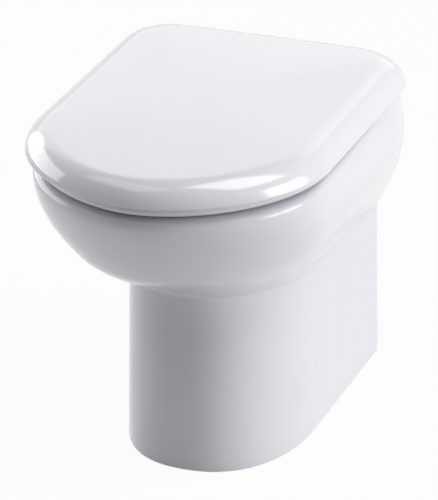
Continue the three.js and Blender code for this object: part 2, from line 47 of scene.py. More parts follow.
sliver = 0.01        # mm, keeps the faces of joined bodies off one plane
print("frame loaded:", len(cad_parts), "solids")


def at(x, d, z):        # millimetres: x to the right, d out from the wall, z up
    return Vector((x * mm, wallY - d * mm, z * mm))


def lerp(a, b, t):
    return a + (b - a) * t


def quarterTurn(steps):        # angles from nothing to a quarter turn
    return [k / steps * math.pi / 2 for k in range(steps + 1)]


def smoothTable(rows, key):        # a smooth curve through rows of key, value, value ...
    keys = [row[0] for row in rows]
    slopes = []
    for i in range(len(rows)):
        before, after = rows[max(i - 1, 0)], rows[min(i + 1, len(rows) - 1)]
        run = after[0] - before[0]
        slopes.append([(b - a) / run for a, b in zip(before[1:], after[1:])])
    for i in range(1, len(rows) - 1):
        near, far = keys[i] - keys[i - 1], keys[i + 1] - keys[i]
        for k in range(1, len(rows[0])):
            back = (rows[i][k] - rows[i - 1][k]) / near
            ahead = (rows[i + 1][k] - rows[i][k]) / far
            slopes[i][k - 1] = (back * far + ahead * near) / (near + far)
    i = 0
    while i < len(keys) - 2 and (key - keys[i + 1]) * (keys[-1] - keys[0]) > 0:
        i += 1
    run = keys[i + 1] - keys[i]
    t = (key - keys[i]) / run
    values = []
    for k in range(1, len(rows[0])):
        values.append(
            (2 * t ** 3 - 3 * t ** 2 + 1) * rows[i][k] + (t ** 3 - 2 * t ** 2 + t) * run * slopes[i][k - 1]
            + (3 * t ** 2 - 2 * t ** 3) * rows[i + 1][k] + (t ** 3 - t ** 2) * run * slopes[i + 1][k - 1])
    return values


def finishMesh(bm, name, body, node, slotName, *looks, sharpAngle=35):        # a bmesh becomes a piece
    bmesh.ops.remove_doubles(bm, verts=bm.verts, dist=weldGap)
    bmesh.ops.recalc_face_normals(bm, faces=bm.faces)
    mesh = bpy.data.meshes.new(name)
    bm.to_mesh(mesh)
    bm.free()
    for look in looks:
        mesh.materials.append(finish[look])
    mesh.polygons.foreach_set("use_smooth", [True] * len(mesh.polygons))
    mesh.set_sharp_from_angle(angle=math.radians(sharpAngle))
    piece = bpy.data.objects.new(name, mesh)
    bpy.context.scene.collection.objects.link(piece)
    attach(piece, body)
    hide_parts(node)


def combine(bm, tool, operation):        # joins or cuts two closed meshes, and empties the tool
    objects = []
    for part in (bm, tool):
        bmesh.ops.recalc_face_normals(part, faces=part.faces)
        mesh = bpy.data.meshes.new("work")
        part.to_mesh(mesh)
        objects.append(bpy.data.objects.new("work", mesh))
        bpy.context.scene.collection.objects.link(objects[-1])
    modifier = objects[0].modifiers.new("join", "BOOLEAN")
    modifier.operation = operation
    modifier.solver = "EXACT"
    modifier.object = objects[1]
    evaluated = objects[0].evaluated_get(bpy.context.evaluated_depsgraph_get())
    result = bpy.data.meshes.new_from_object(evaluated)
    bm.clear()
    bm.from_mesh(result)
    tool.free()
    for work in objects:
        mesh = work.data
        bpy.data.objects.remove(work)
        bpy.data.meshes.remove(mesh)
    bpy.data.meshes.remove(result)


def roundEdges(bm, edges, rounding, segments=3):
    bmesh.ops.bevel(bm, geom=edges, offset=rounding * mm, segments=segments, profile=0.5, affect="EDGES",
                    material=-1)


def lathe(profile, centre, steps=48):        # profile of radius, height; a closed turned body
    bm = bmesh.new()
    last = None
    edges = []
    for radius, height in profile:
        corner = bm.verts.new(centre + Vector((radius * mm, 0, height * mm)))
        if last:
            edges.append(bm.edges.new((last, corner)))
        last = corner
    bmesh.ops.spin(bm, geom=bm.verts[:] + edges, cent=centre, axis=(0, 0, 1), angle=2 * math.pi,
                   steps=steps, use_merge=True)
    bmesh.ops.remove_doubles(bm, verts=bm.verts, dist=weldGap / 2)
    return bm


def turnedCorner(radius, height, offsets):        # a corner of a turned profile, with its edge broken
    return [(radius + outward, height + up) for outward, up in offsets]


def block(low, high, rounding=0):        # a box between two corners
    bm = bmesh.new()
    bmesh.ops.create_cube(bm, size=1)
    for v in bm.verts:
        for k in range(3):
            v.co[k] = low[k] if v.co[k] < 0 else high[k]
    if rounding:
        roundEdges(bm, bm.edges[:], rounding)
    return bm


def makeRod(radius, middle, length, turnAxis=None, rounding=0, segments=40):
    bm = bmesh.new()
    place = Matrix.Translation(middle)
    if turnAxis:
        place = place @ Matrix.Rotation(math.pi / 2, 4, turnAxis)
    bmesh.ops.create_cone(bm, cap_ends=True, segments=segments, radius1=radius * mm, radius2=radius * mm,
                          depth=length * mm, matrix=place)
    if rounding:        # only round its two ends
        ends = [e for e in bm.edges if len(e.link_faces) == 2 and e.calc_face_angle() > 1]
        roundEdges(bm, ends, rounding)
    return bm


def rodUp(radius, x, d, z0, z1, rounding=0):        # upright
    return makeRod(radius, at(x, d, (z0 + z1) / 2), z1 - z0, None, rounding)


def rodBack(radius, z, d0, d1):        # towards the wall, on the centre line
    return makeRod(radius, at(0, (d0 + d1) / 2, z), abs(d1 - d0), "X", segments=48)


# Each finish: its colour, how dark its darker patches are against it, its least and greatest
# roughness, its clear coat, and the scale and depth of its long waves and of its fine grain
finishes = {
    "glaze": {"colour": (0.79, 0.783, 0.835), "shade": 0.985, "roughness": (0.1, 0.16), "coat": 0,
              "waves": (9, 0.0009), "grain": (420, 0.000012)},
    "bareCeramic": {"colour": (0.70, 0.685, 0.65), "shade": 0.93, "roughness": (0.75, 0.92), "coat": 0,
                    "waves": (35, 0.0006), "grain": (1500, 0.00008)},
    "seatPlastic": {"colour": (0.785, 0.778, 0.832), "shade": 0.99, "roughness": (0.14, 0.2), "coat": 0.6,
                    "waves": (6, 0.0004), "grain": (900, 0.000008)},
    "paleRubber": {"colour": (0.66, 0.66, 0.64), "shade": 0.93, "roughness": (0.6, 0.78), "coat": 0,
                   "waves": (60, 0.0001), "grain": (2600, 0.00005)},
    "darkRubber": {"colour": (0.03, 0.03, 0.031), "shade": 0.8, "roughness": (0.55, 0.75), "coat": 0,
                   "waves": (60, 0.0001), "grain": (2200, 0.00006)},
    "nylon": {"colour": (0.78, 0.77, 0.73), "shade": 0.95, "roughness": (0.38, 0.5), "coat": 0,
              "waves": (40, 0.0002), "grain": (1600, 0.00003)},
    "chrome": {"colour": (0.79, 0.8, 0.815), "shade": 0.97, "roughness": (0.06, 0.14), "coat": 0,
               "metal": 1, "waves": (30, 0.00006), "grain": (1200, 0.000006)},
    "zincPlate": {"colour": (0.6, 0.61, 0.64), "shade": 0.85, "roughness": (0.28, 0.45), "coat": 0,
                  "metal": 1, "waves": (80, 0.00008), "grain": (1800, 0.00003)},
}
# What all finishes share: the stretch of the noise that is used, how much finer the patches and the
# polish are than the waves, and the detail of each noise
noiseUse = {
    "from": 0.3, "to": 0.7, "patchScale": 2.3, "patchDetail": 4, "polishScale": 4, "polishDetail": 6,
    "waveDetail": 1, "grainDetail": 3, "coatRoughness": 0.04,
}


def makeFinish(name):
    look, use = finishes[name], noiseUse
    waveScale, waveDepth = look["waves"]
    grainScale, grainDepth = look["grain"]
    material = bpy.data.materials.new(name)
    material.use_nodes = True
    nodes, links = material.node_tree.nodes, material.node_tree.links
    shader = nodes["Principled BSDF"]
    shader.inputs["Metallic"].default_value = look.get("metal", 0)
    shader.inputs["Coat Weight"].default_value = look["coat"]
    shader.inputs["Coat Roughness"].default_value = use["coatRoughness"]
    place = nodes.new("ShaderNodeTexCoord").outputs["Object"]

    def noise(scale, detail):
        node = nodes.new("ShaderNodeTexNoise")
        node.inputs["Scale"].default_value = scale
        node.inputs["Detail"].default_value = detail
        links.new(place, node.inputs["Vector"])
        return node.outputs["Fac"]

    patches = nodes.new("ShaderNodeValToRGB")
    darker, plain = patches.color_ramp.elements
    darker.position, plain.position = use["from"], use["to"]
    darker.color = [c * look["shade"] for c in look["colour"]] + [1]
    plain.color = list(look["colour"]) + [1]
    links.new(noise(waveScale * use["patchScale"], use["patchDetail"]), patches.inputs["Fac"])
    links.new(patches.outputs["Color"], shader.inputs["Base Color"])

    polish = nodes.new("ShaderNodeMapRange")
    polish.inputs["From Min"].default_value, polish.inputs["From Max"].default_value = use["from"], use["to"]
    polish.inputs["To Min"].default_value, polish.inputs["To Max"].default_value = look["roughness"]
    links.new(noise(waveScale * use["polishScale"], use["polishDetail"]), polish.inputs["Value"])
    links.new(polish.outputs["Result"], shader.inputs["Roughness"])

    waves = nodes.new("ShaderNodeBump")
    waves.inputs["Distance"].default_value = waveDepth
    links.new(noise(waveScale, use["waveDetail"]), waves.inputs["Height"])
    grain = nodes.new("ShaderNodeBump")
    grain.inputs["Distance"].default_value = grainDepth
    links.new(noise(grainScale, use["grainDetail"]), grain.inputs["Height"])
    links.new(waves.outputs["Normal"], grain.inputs["Normal"])
    links.new(grain.outputs["Normal"], shader.inputs["Normal"])
    return material


finish = {name: makeFinish(name) for name in finishes}
print("finishes made:", len(finish))


# Every ring of the pan, seat ring and lid has the same stations, counted from the middle of its rear
# edge round the right side to the nose and back round the left.
stations = {"rear": 8, "side": 40, "nose": 50}
halfCount = sum(stations.values())
# How the stations crowd towards the wall, how soon the side reaches its width, and which share of
# the rear stations lies on the straight
outlineSizes = {"sideCrowding": 1.15, "sideFullness": 3, "rearStraight": 0.3}


def stationOf(i):        # which stretch a station lies on, how far along it, and on which side
    k = min(i, 2 * halfCount - i)
    side = 1 if i <= halfCount else -1
    for stretch in ("rear", "side", "nose"):
        if k <= stations[stretch]:
            return stretch, k / stations[stretch], side
        k -= stations[stretch]


def noseCurve(halfWidth, front, depth, power, share):        # a quarter of the rounded front
    angle = share * math.pi / 2
    x = halfWidth * max(math.cos(angle), 0) ** (2 / power)
    return (0 if share == 1 else x), front - depth + depth * math.sin(angle) ** (2 / power)


def bodyOutline(i, halfWidth, reach, wallHalf, depth, power):        # runs square into the wall
    stretch, share, side = stationOf(i)
    if stretch == "rear":
        return side * wallHalf * share, 0
    if stretch == "side":
        along = share ** outlineSizes["sideCrowding"]
        out = 1 - (1 - along) ** outlineSizes["sideFullness"]
        return side * lerp(wallHalf, halfWidth, out), (reach - depth) * along
    x, d = noseCurve(halfWidth, reach, depth, power, share)
    return side * x, d


def roundOutline(i, halfWidth, front, rear, depth, power, corner):        # has two rear corners
    stretch, share, side = stationOf(i)
    straight = outlineSizes["rearStraight"]
    if stretch == "rear":
        if share <= straight:
            return side * (halfWidth - corner) * share / straight, rear
        angle = (share - straight) / (1 - straight) * math.pi / 2
        return side * (halfWidth - corner + corner * math.sin(angle)), rear + corner * (1 - math.cos(angle))
    if stretch == "side":
        return side * halfWidth, lerp(rear + corner, front - depth, share)
    x, d = noseCurve(halfWidth, front, depth, power, share)
    return side * x, d


def startRing(bm, place):
    station = bm.verts.layers.int.new("station")
    made = bmesh.ops.create_circle(bm, segments=2 * halfCount, radius=1)["verts"]
    for i, v in enumerate(made):
        v[station] = i
        v.co = place(i)
    return bm.edges[:]


def growRing(bm, edges, place):        # extrudes the last ring and sets the new one in its place
    station = bm.verts.layers.int["station"]
    made = bmesh.ops.extrude_edge_only(bm, edges=edges)["geom"]
    for v in made:
        if isinstance(v, bmesh.types.BMVert):
            v.co = place(v[station])
    return [e for e in made if isinstance(e, bmesh.types.BMEdge)]


def growRings(places):
    bm = bmesh.new()
    edges = startRing(bm, places[0])
    for place in places[1:]:
        edges = growRing(bm, edges, place)
    return bm


# The hinge, which the pan's holes, the ring, the lid and the posts share
hinge = {
    "setback": 65, "height": 417.5, "spacing": 155, "radius": 5.5, "edge": 0.6, "pin": 3, "bore": 3.3,
    "boreStop": 2, "borePast": 4,
}


def rodAcross(radius, x0, x1, rounding=0, segments=40):        # on the hinge's axis
    middle = at((x0 + x1) / 2, hinge["setback"], hinge["height"])
    return makeRod(radius, middle, abs(x1 - x0), "Y", rounding, segments)


def addKnuckle(bm, side, inner, outer, boreInner, boreOuter):        # a round eye and its blind bore
    combine(bm, rodAcross(hinge["radius"], side * inner, side * outer, hinge["edge"]), "UNION")
    combine(bm, rodAcross(hinge["bore"], side * boreInner, side * boreOuter), "DIFFERENCE")


# Half is half a width, Reach and Front lie out from the wall, Nose is how deep the rounded front is,
# and Power how square it is. The lower noseShift is, the sooner the nose deepens on the way up.
panSizes = {
    "footHalf": 110.8, "footReach": 391.8, "footRound": 2.5, "footFlange": 24, "footSide": 8,
    "pedestalHalf": 106.5, "pedestalReach": 393.7, "pedestalNose": 158.5, "pedestalPower": 2.26,
    "bodyHalf": 172.2, "bodyReach": 562.7, "wallHalf": 140, "bodyNose": 168, "bodyPower": 1.84,
    "noseShift": 0.6,
    "creaseAtWall": 199, "creaseRise": 29.5, "creaseBelow": 0.025, "creaseAbove": 0.03, "creaseSteps": 8,
    "rimHeight": 390, "rimRound": 10, "rimFlat": 3,
    "openHalf": 109, "openFront": 513, "openRear": 181, "openNose": 150, "openPower": 2, "openCorner": 92,
    "openRound": 8, "lipDepth": 38, "lipRound": 3, "lipHold": 7.5, "bowlCorner": 0.9,
    "wall": 10.5, "wallTrim": 1.2, "roundSteps": 6, "holeRadius": 8, "holeDepth": 20, "cutPast": 5,
    "inletLevel": 318, "inletBore": 27.5, "inletWall": 9, "inletSetback": 45, "inletOverlap": 12,
}
# Where the rings of the pedestal and the body lie, from the floor (0) to the crease (1) and from
# the crease (0) to the shoulder (1)
pedestalShares = (0, 0.1, 0.2, 0.3, 0.4, 0.5, 0.6, 0.7, 0.8, 0.88, 0.94)
bodyShares = (0.045, 0.06, 0.08, 0.107, 0.14, 0.18, 0.22, 0.267, 0.32, 0.37, 0.425, 0.48, 0.53, 0.585, 0.64,
              0.69, 0.745, 0.8, 0.855, 0.91, 0.955)
# How the body swells from the crease (0) to the shoulder (1): side, nose, width on the wall
swellRows = [
    (0, 0, 0, 0), (0.107, 0.186, 0.231, 0.28), (0.267, 0.444, 0.515, 0.66), (0.48, 0.77, 0.696, 0.95),
    (0.69, 0.958, 0.832, 0.97), (0.91, 1, 0.96, 0.62), (1, 0.985, 1, 0.5),
]
# Under the lip: how far out from the opening, how far down
underLipSteps = ((11, 0), (13.2, 0.9))
# The bowl from under the lip down to the well: height, half width, front, rear
bowlRows = [
    (347, 123, 527, 166), (305.1, 105.9, 483, 173.3), (264.9, 93.9, 436.6, 185.6),
    (234.1, 77.5, 362.3, 206.9), (182, 56.9, 332.1, 225.7), (147, 46, 312, 236),
]
bowlLevels = (347, 342, 334, 325, 315, 305, 296, 287, 278, 270, 262, 254, 246, 238, 230, 222, 213, 204, 195,
              186, 177, 168, 159, 152, 147)
# The waterway behind the well: the dip of the sump, the climb, the crest and the fall to the outlet
trapSizes = {
    "bore": 36, "steps": 8, "sumpSetback": 227, "dipRound": 47, "climbRound": 55,
    "crestLevel": 168, "crestRound": 50, "fallSteps": 5, "outletLevel": 185, "outletSetback": 35,
}


def creaseHeight(d):        # the crease climbs from the wall to the nose
    return panSizes["creaseAtWall"] + panSizes["creaseRise"] * d / panSizes["pedestalReach"]


def footRing(inset):
    p = panSizes
    return lambda i: at(*bodyOutline(i, p["footHalf"] - inset, p["footReach"] - inset, p["footHalf"] - inset,
                                     p["pedestalNose"], p["pedestalPower"]), 0)


def pedestalRing(share):
    p = panSizes
    halfWidth = lerp(p["footHalf"], p["pedestalHalf"], share)
    reach = lerp(p["footReach"], p["pedestalReach"], share)

    def place(i):
        x, d = bodyOutline(i, halfWidth, reach, halfWidth, p["pedestalNose"], p["pedestalPower"])
        return at(x, d, creaseHeight(d) * share)
    return place


def bodyRing(share, inset=0, z=None):
    p = panSizes
    side, nose, onWall = smoothTable(swellRows, share)
    shoulder = p["rimHeight"] - p["rimRound"]

    def place(i):
        x, d = bodyOutline(
            i, lerp(p["pedestalHalf"], p["bodyHalf"], side) - inset,
            lerp(p["pedestalReach"], p["bodyReach"], nose) - inset,
            lerp(p["pedestalHalf"], p["wallHalf"], onWall) - inset,
            lerp(p["pedestalNose"], p["bodyNose"], share ** p["noseShift"]),
            lerp(p["pedestalPower"], p["bodyPower"], share))
        return at(x, d, lerp(creaseHeight(d), shoulder, share) if z is None else z)
    return place


def creaseRing(t):        # rounds the fold between the pedestal and the body
    p = panSizes
    below, fold, above = pedestalRing(1 - p["creaseBelow"]), pedestalRing(1), bodyRing(p["creaseAbove"])
    return lambda i: below(i) * (1 - t) ** 2 + fold(i) * 2 * t * (1 - t) + above(i) * t ** 2


def openRing(out, z):
    p = panSizes
    return lambda i: at(*roundOutline(i, p["openHalf"] + out, p["openFront"] + out, p["openRear"] - out,
                                      p["openNose"], p["openPower"], p["openCorner"]), z)


def bowlOutline(i, halfWidth, front, rear):        # the opening's outline, made smaller
    p = panSizes
    lengthShare = (front - rear) / (p["openFront"] - p["openRear"])
    return roundOutline(i, halfWidth, front, rear, p["openNose"] * lengthShare, p["openPower"],
                        min(p["openCorner"] * lengthShare, halfWidth * p["bowlCorner"]))


def bowlRing(z):
    halfWidth, front, rear = smoothTable(bowlRows, z)
    return lambda i: at(*bowlOutline(i, halfWidth, front, rear), z)


def trapRing(d, z, toWall, up, roundness=1):        # a section across the waterway, which faces toWall, up
    halfWidth, front, rear = bowlRows[-1][1:]

    def place(i):
        x, r = bowlOutline(i, halfWidth, front, rear)
        r -= (front + rear) / 2
        circle = trapSizes["bore"] / math.hypot(x, r)
        x, r = lerp(x, x * circle, roundness), lerp(r, r * circle, roundness)
        return at(x, d - r * up, z - r * toWall)
    return place


def trapRings():        # down into the sump, back and up over the crest, and down to the outlet
    t = trapSizes
    dip, climb, bend = t["dipRound"], t["climbRound"], t["crestRound"]
    sump, well = t["sumpSetback"], bowlRows[-1][0]
    crest, top, outlet = sump - climb - bend, t["crestLevel"], t["outletLevel"]
    quarter = quarterTurn(t["steps"])
    rings = []
    for k, a in enumerate(quarter[1:], 1):
        rings.append(trapRing(sump + dip * math.cos(a), well - dip * math.sin(a),
                              math.sin(a), -math.cos(a), k / t["steps"]))
    for a in quarter[1:]:
        rings.append(trapRing(sump - climb * math.sin(a), well - dip + climb - climb * math.cos(a),
                              math.cos(a), math.sin(a)))
    for a in quarter:
        rings.append(trapRing(crest + bend * math.cos(a), top + bend * math.sin(a), math.sin(a), math.cos(a)))
    turn = math.acos(1 - (top + bend - outlet) / 2 / bend)
    fall = [k / t["fallSteps"] * turn for k in range(t["fallSteps"] + 1)]
    for a in fall[1:]:
        rings.append(trapRing(crest - bend * math.sin(a), top + bend * math.cos(a),
                              math.cos(a), -math.sin(a)))
    for a in fall[-2::-1]:
        rings.append(trapRing(crest - bend * (2 * math.sin(turn) - math.sin(a)),
                              outlet + bend - bend * math.cos(a), math.cos(a), -math.sin(a)))
    rings.append(trapRing(t["outletSetback"], outlet, 1, 0))
    return rings


def panSheet():        # one sheet from under the foot up over the rim, down the bowl and out at the back
    p = panSizes
    rim, quarter = p["rimHeight"], quarterTurn(p["roundSteps"])
    underLip = rim - p["lipDepth"]
    places = [footRing(p["footFlange"])]
    places += [pedestalRing(share) for share in pedestalShares]
    places += [creaseRing(k / p["creaseSteps"]) for k in range(p["creaseSteps"] + 1)]
    places += [bodyRing(share) for share in bodyShares]
    places += [bodyRing(1, p["rimRound"] * (1 - math.cos(a)), rim - p["rimRound"] * (1 - math.sin(a)))
               for a in quarter]
    places += [bodyRing(1, p["rimRound"] + p["rimFlat"], rim), openRing(p["openRound"] + p["rimFlat"], rim)]
    places += [openRing(p["openRound"] * (1 - math.sin(a)), rim - p["openRound"] * (1 - math.cos(a)))
               for a in quarter]
    places.append(openRing(0, underLip + p["lipHold"]))
    places += [openRing(p["lipRound"] * (1 - math.cos(a)), underLip + p["lipRound"] * (1 - math.sin(a)))
               for a in quarter]
    places += [openRing(out, underLip - down) for out, down in underLipSteps]
    places += [bowlRing(z) for z in bowlLevels]
    places += trapRings()
    bm = growRings(places)
    onWall = [f for f in bm.faces if all(v.co.y > wallY - weldGap for v in f.verts)]
    bmesh.ops.delete(bm, geom=onWall, context="FACES")
    bmesh.ops.remove_doubles(bm, verts=bm.verts, dist=2 * weldGap)
    deck = [f for f in bm.faces if abs(f.normal.z) > 0.999 and f.calc_center_median().z > (rim - 1) * mm]
    if max(deck, key=lambda f: f.calc_area()).normal.z < 0:
        bmesh.ops.reverse_faces(bm, faces=bm.faces[:])
    return bm


def makePan():
    p = panSizes
    sheet = panSheet()
    mesh = bpy.data.meshes.new("work")
    sheet.to_mesh(mesh)
    sheet.free()
    mesh.materials.append(finish["glaze"])
    mesh.materials.append(finish["bareCeramic"])
    work = bpy.data.objects.new("work", mesh)
    bpy.context.scene.collection.objects.link(work)
    wall = work.modifiers.new("wall", "SOLIDIFY")
    wall.thickness = p["wall"] * mm
    wall.offset = -1
    wall.material_offset = 1
    wall.material_offset_rim = 1
    evaluated = work.evaluated_get(bpy.context.evaluated_depsgraph_get())
    thick = bpy.data.meshes.new_from_object(evaluated)
    bpy.data.objects.remove(work)
    bm = bmesh.new()
    bm.from_mesh(thick)
    for v in bm.verts:        # the cut edge on the wall is flat
        if v.co.y > wallY - p["wallTrim"] * mm:
            v.co.y = wallY
    foot = [e for e in bm.edges if max(v.co.z for v in e.verts) < weldGap
            and max(f.calc_center_median().z for f in e.link_faces) > p["footSide"] * mm]
    roundEdges(bm, foot, p["footRound"], 4)
    spigot = rodBack(p["inletBore"] + p["inletWall"], p["inletLevel"], p["inletSetback"],
                     p["openRear"] - p["inletOverlap"])
    combine(bm, spigot, "UNION")
    bore = rodBack(p["inletBore"], p["inletLevel"], p["inletSetback"] - p["cutPast"],
                   p["openRear"] + p["inletOverlap"])
    combine(bm, bore, "DIFFERENCE")
    for side in (-1, 1):
        hole = rodUp(p["holeRadius"], side * hinge["spacing"] / 2, hinge["setback"],
                     p["rimHeight"] - p["holeDepth"], p["rimHeight"] + p["cutPast"])
        combine(bm, hole, "DIFFERENCE")
    finishMesh(bm, "panCasting", "pan", "pan", "glazed_ceramic", "glaze", "bareCeramic", sharpAngle=40)


makePan()
print("pan cast")


ringSizes = {
    "half": 171.5, "front": 564, "rear": 112, "nose": 174.7, "power": 1.84, "corner": 56,
    "base": 394, "top": 412, "edge": 10, "flat": 2, "underEdge": 8, "innerUnderEdge": 3, "roundSteps": 5,
    "holeHalf": 105, "holeFront": 497, "holeRear": 192, "holeNose": 145, "holePower": 2, "holeCorner": 88,
    "holeEdge": 7,
    "armFrom": 52.9, "armTo": 69.9, "armLow": 397.5, "armHigh": 406.2, "armRound": 1, "armRoot": 9,
}


def makeSeatRing():
    r = ringSizes
    quarter = quarterTurn(r["roundSteps"])

    def outer(inset, z):
        return lambda i: at(*roundOutline(i, r["half"] - inset, r["front"] - inset, r["rear"] + inset,
                                          r["nose"], r["power"], r["corner"] - inset / 2), z)

    def inner(out, z):
        return lambda i: at(*roundOutline(i, r["holeHalf"] + out, r["holeFront"] + out, r["holeRear"] - out,
                                          r["holeNose"], r["holePower"], r["holeCorner"]), z)

    places = [outer(r["underEdge"] * (1 - math.sin(a)), r["base"] + r["underEdge"] * (1 - math.cos(a)))
              for a in quarter]
    places += [outer(r["edge"] * (1 - math.cos(a)), r["top"] - r["edge"] * (1 - math.sin(a))) for a in quarter]
    places += [outer(r["edge"] + r["flat"], r["top"]), inner(r["holeEdge"] + r["flat"], r["top"])]
    places += [inner(r["holeEdge"] * (1 - math.sin(a)), r["top"] - r["holeEdge"] * (1 - math.cos(a)))
               for a in quarter]
    under = r["innerUnderEdge"]
    places += [inner(under * (1 - math.cos(a)), r["base"] + under * (1 - math.sin(a))) for a in quarter]
    places.append(places[0])
    bm = growRings(places)
    bmesh.ops.remove_doubles(bm, verts=bm.verts, dist=weldGap)
    armEnd = hinge["setback"] - hinge["radius"]
    for side in (-1, 1):
        x0, x1 = sorted((side * r["armFrom"], side * r["armTo"]))
        arm = block(at(x0, r["rear"] + r["armRoot"], r["armLow"]), at(x1, armEnd, r["armHigh"]),
                    r["armRound"])
        combine(bm, arm, "UNION")
        riser = block(at(x0, hinge["setback"] + hinge["radius"], r["armLow"] + sliver),
                      at(x1, armEnd + sliver, hinge["height"]))
        combine(bm, riser, "UNION")
        addKnuckle(bm, side, r["armFrom"], r["armTo"], r["armFrom"] + hinge["boreStop"],
                   r["armTo"] + hinge["borePast"])
    finishMesh(bm, "seatRing", "seat", "seat_ring", "seat_plastic", "seatPlastic")


makeSeatRing()
print("seat ring made")


padSpots = {"rear": (140, 240), "front": (86, 488)}        # to the side and out from the wall
lidSizes = {
    "half": 179, "front": 572, "rear": 72.5, "nose": 174.7, "power": 1.84, "corner": 58,
    "base": 406.8, "frontRise": 29, "rearRise": 36, "crown": 5.9, "edge": 34, "frontEdge": 22, "rearEdge": 34,
    "edgeSteps": 18, "insideSteps": 10, "shell": 4, "rimRound": 1.6, "rimSteps": 4,
    "lugFrom": 85.1, "lugTo": 102.1, "lugSink": 0.3,
    "footRadius": 7, "footLow": 416, "footHigh": 437, "footEdge": 0.8,
}
# The rings of the top, from near its edge (1) to its middle (0)
topShares = (0.95, 0.88, 0.8, 0.71, 0.62, 0.53, 0.44, 0.35, 0.26, 0.17, 0.09, 0)
# The inner corner of the lid's rim: how far out from the inside, how far up
innerRimSteps = ((0, 1.2), (0.7, 0.2), (1.2, 0))


def lidRing(turn, thickness, crownShare=1):        # turn: how far round the rolled edge, 0 to 1
    s = lidSizes
    inward, up = 1 - math.cos(turn * math.pi / 2), math.sin(turn * math.pi / 2)
    middle = (s["front"] - s["frontEdge"] + s["rear"] + s["rearEdge"]) / 2

    def outline(i, share):
        inset = s["edge"] * share + thickness
        return roundOutline(i, s["half"] - inset, s["front"] - s["frontEdge"] * share - thickness,
                            s["rear"] + s["rearEdge"] * share + thickness, s["nose"] - inset / 2, s["power"],
                            s["corner"] - inset / 2)

    def place(i):
        x, d = outline(i, inward)
        topX, topD = outline(i, 1)
        x, d = x * crownShare, middle + (d - middle) * crownShare
        out = math.hypot(x, d - middle) / math.hypot(topX, topD - middle)
        rise = lerp(s["rearRise"], s["frontRise"], (d - s["rear"]) / (s["front"] - s["rear"]))
        return at(x, d, s["base"] + up * (rise - thickness + s["crown"] * (1 - out ** 2)))
    return place


def lidShell(thickness, steps):        # from the foot of the edge up to the middle of the top
    return [lidRing(k / steps, thickness) for k in range(1, steps + 1)] + [
        lidRing(1, thickness, share) for share in topShares]


def lidFoot(inset, z):
    lowest = lidRing(0, inset)
    return lambda i: Vector((*lowest(i).xy, z * mm))


def makeLid():
    s = lidSizes
    r = s["rimRound"]
    places = list(reversed(lidShell(s["shell"], s["insideSteps"])))
    places += [lidFoot(s["shell"] - out, s["base"] + up) for out, up in innerRimSteps]
    places += [lidFoot(r * (1 - math.sin(a)), s["base"] + r * (1 - math.cos(a)))
               for a in quarterTurn(s["rimSteps"])]
    places += lidShell(0, s["edgeSteps"])
    bm = growRings(places)
    bmesh.ops.remove_doubles(bm, verts=bm.verts, dist=weldGap)
    for side in (-1, 1):
        for x, d in padSpots.values():
            foot = rodUp(s["footRadius"], side * x, d, s["footLow"], s["footHigh"], s["footEdge"])
            combine(bm, foot, "UNION")
        x0, x1 = sorted((side * s["lugFrom"], side * s["lugTo"]))
        lug = block(at(x0, s["rear"] + s["shell"] + s["lugSink"], hinge["height"] - hinge["radius"] + sliver),
                    at(x1, hinge["setback"], hinge["height"] + hinge["radius"] - sliver))
        combine(bm, lug, "UNION")
        addKnuckle(bm, side, s["lugFrom"], s["lugTo"], s["lugFrom"] - hinge["borePast"],
                   s["lugTo"] - hinge["boreStop"])
    finishMesh(bm, "lidCover", "lid", "lid", "seat_plastic", "seatPlastic")


makeLid()
print("lid made")


# The fixings of one hinge, from the post down to the wing nut. Each Foot and Top entry breaks an
# edge of a turned body: how far outward and up from its corner.
hingeSizes = {
    "width": 14, "depth": 10, "eyeEdge": 0.5, "eyeSegments": 56, "sunk": 0.5, "cutPast": 5,
    "flange": 16, "flangeLow": 392.1, "flangeHigh": 395.1,
    "flangeFoot": ((-0.3, 0), (0, 0.3)), "flangeTop": ((0, -1.2), (-0.4, -0.45), (-1.4, 0)),
    "pinHalf": 22.3, "gasketLow": 390.3, "gasketHigh": 391.8, "gasketBore": 8,
    "gasketFoot": ((-0.3, 0), (0, 0.4)), "gasketTop": ((0, -0.4), (-0.3, 0)),
    "boltRadius": 3, "boltPlay": 0.3, "boltLow": 318, "boltHigh": 400.1, "boltSteps": 20,
    "boltFoot": 1, "boltTop": ((0, -0.6), (-0.6, 0)),
    "threadFrom": 320, "threadTo": 372, "threadEnd": 1, "threadStart": 0.5, "threadDepth": 0.55, "pitch": 1,
    "coneHigh": 373.7, "coneLow": 361.7, "coneRadius": 14, "coneTip": 9,
    "coneFoot": ((-0.6, 0), (0, 0.6)), "coneTop": ((-0.3, -1.6), (0, -0.9), (-0.6, 0)),
    "nutHigh": 361.4, "nutLow": 347.4, "nutRadius": 10,
    "nutFoot": ((-1, 0), (0, 1)), "nutTop": ((0, -1), (-1, 0)),
    "wingSpan": 40, "wingThickness": 4, "wingDrop": 4, "wingRound": 1.2,
}


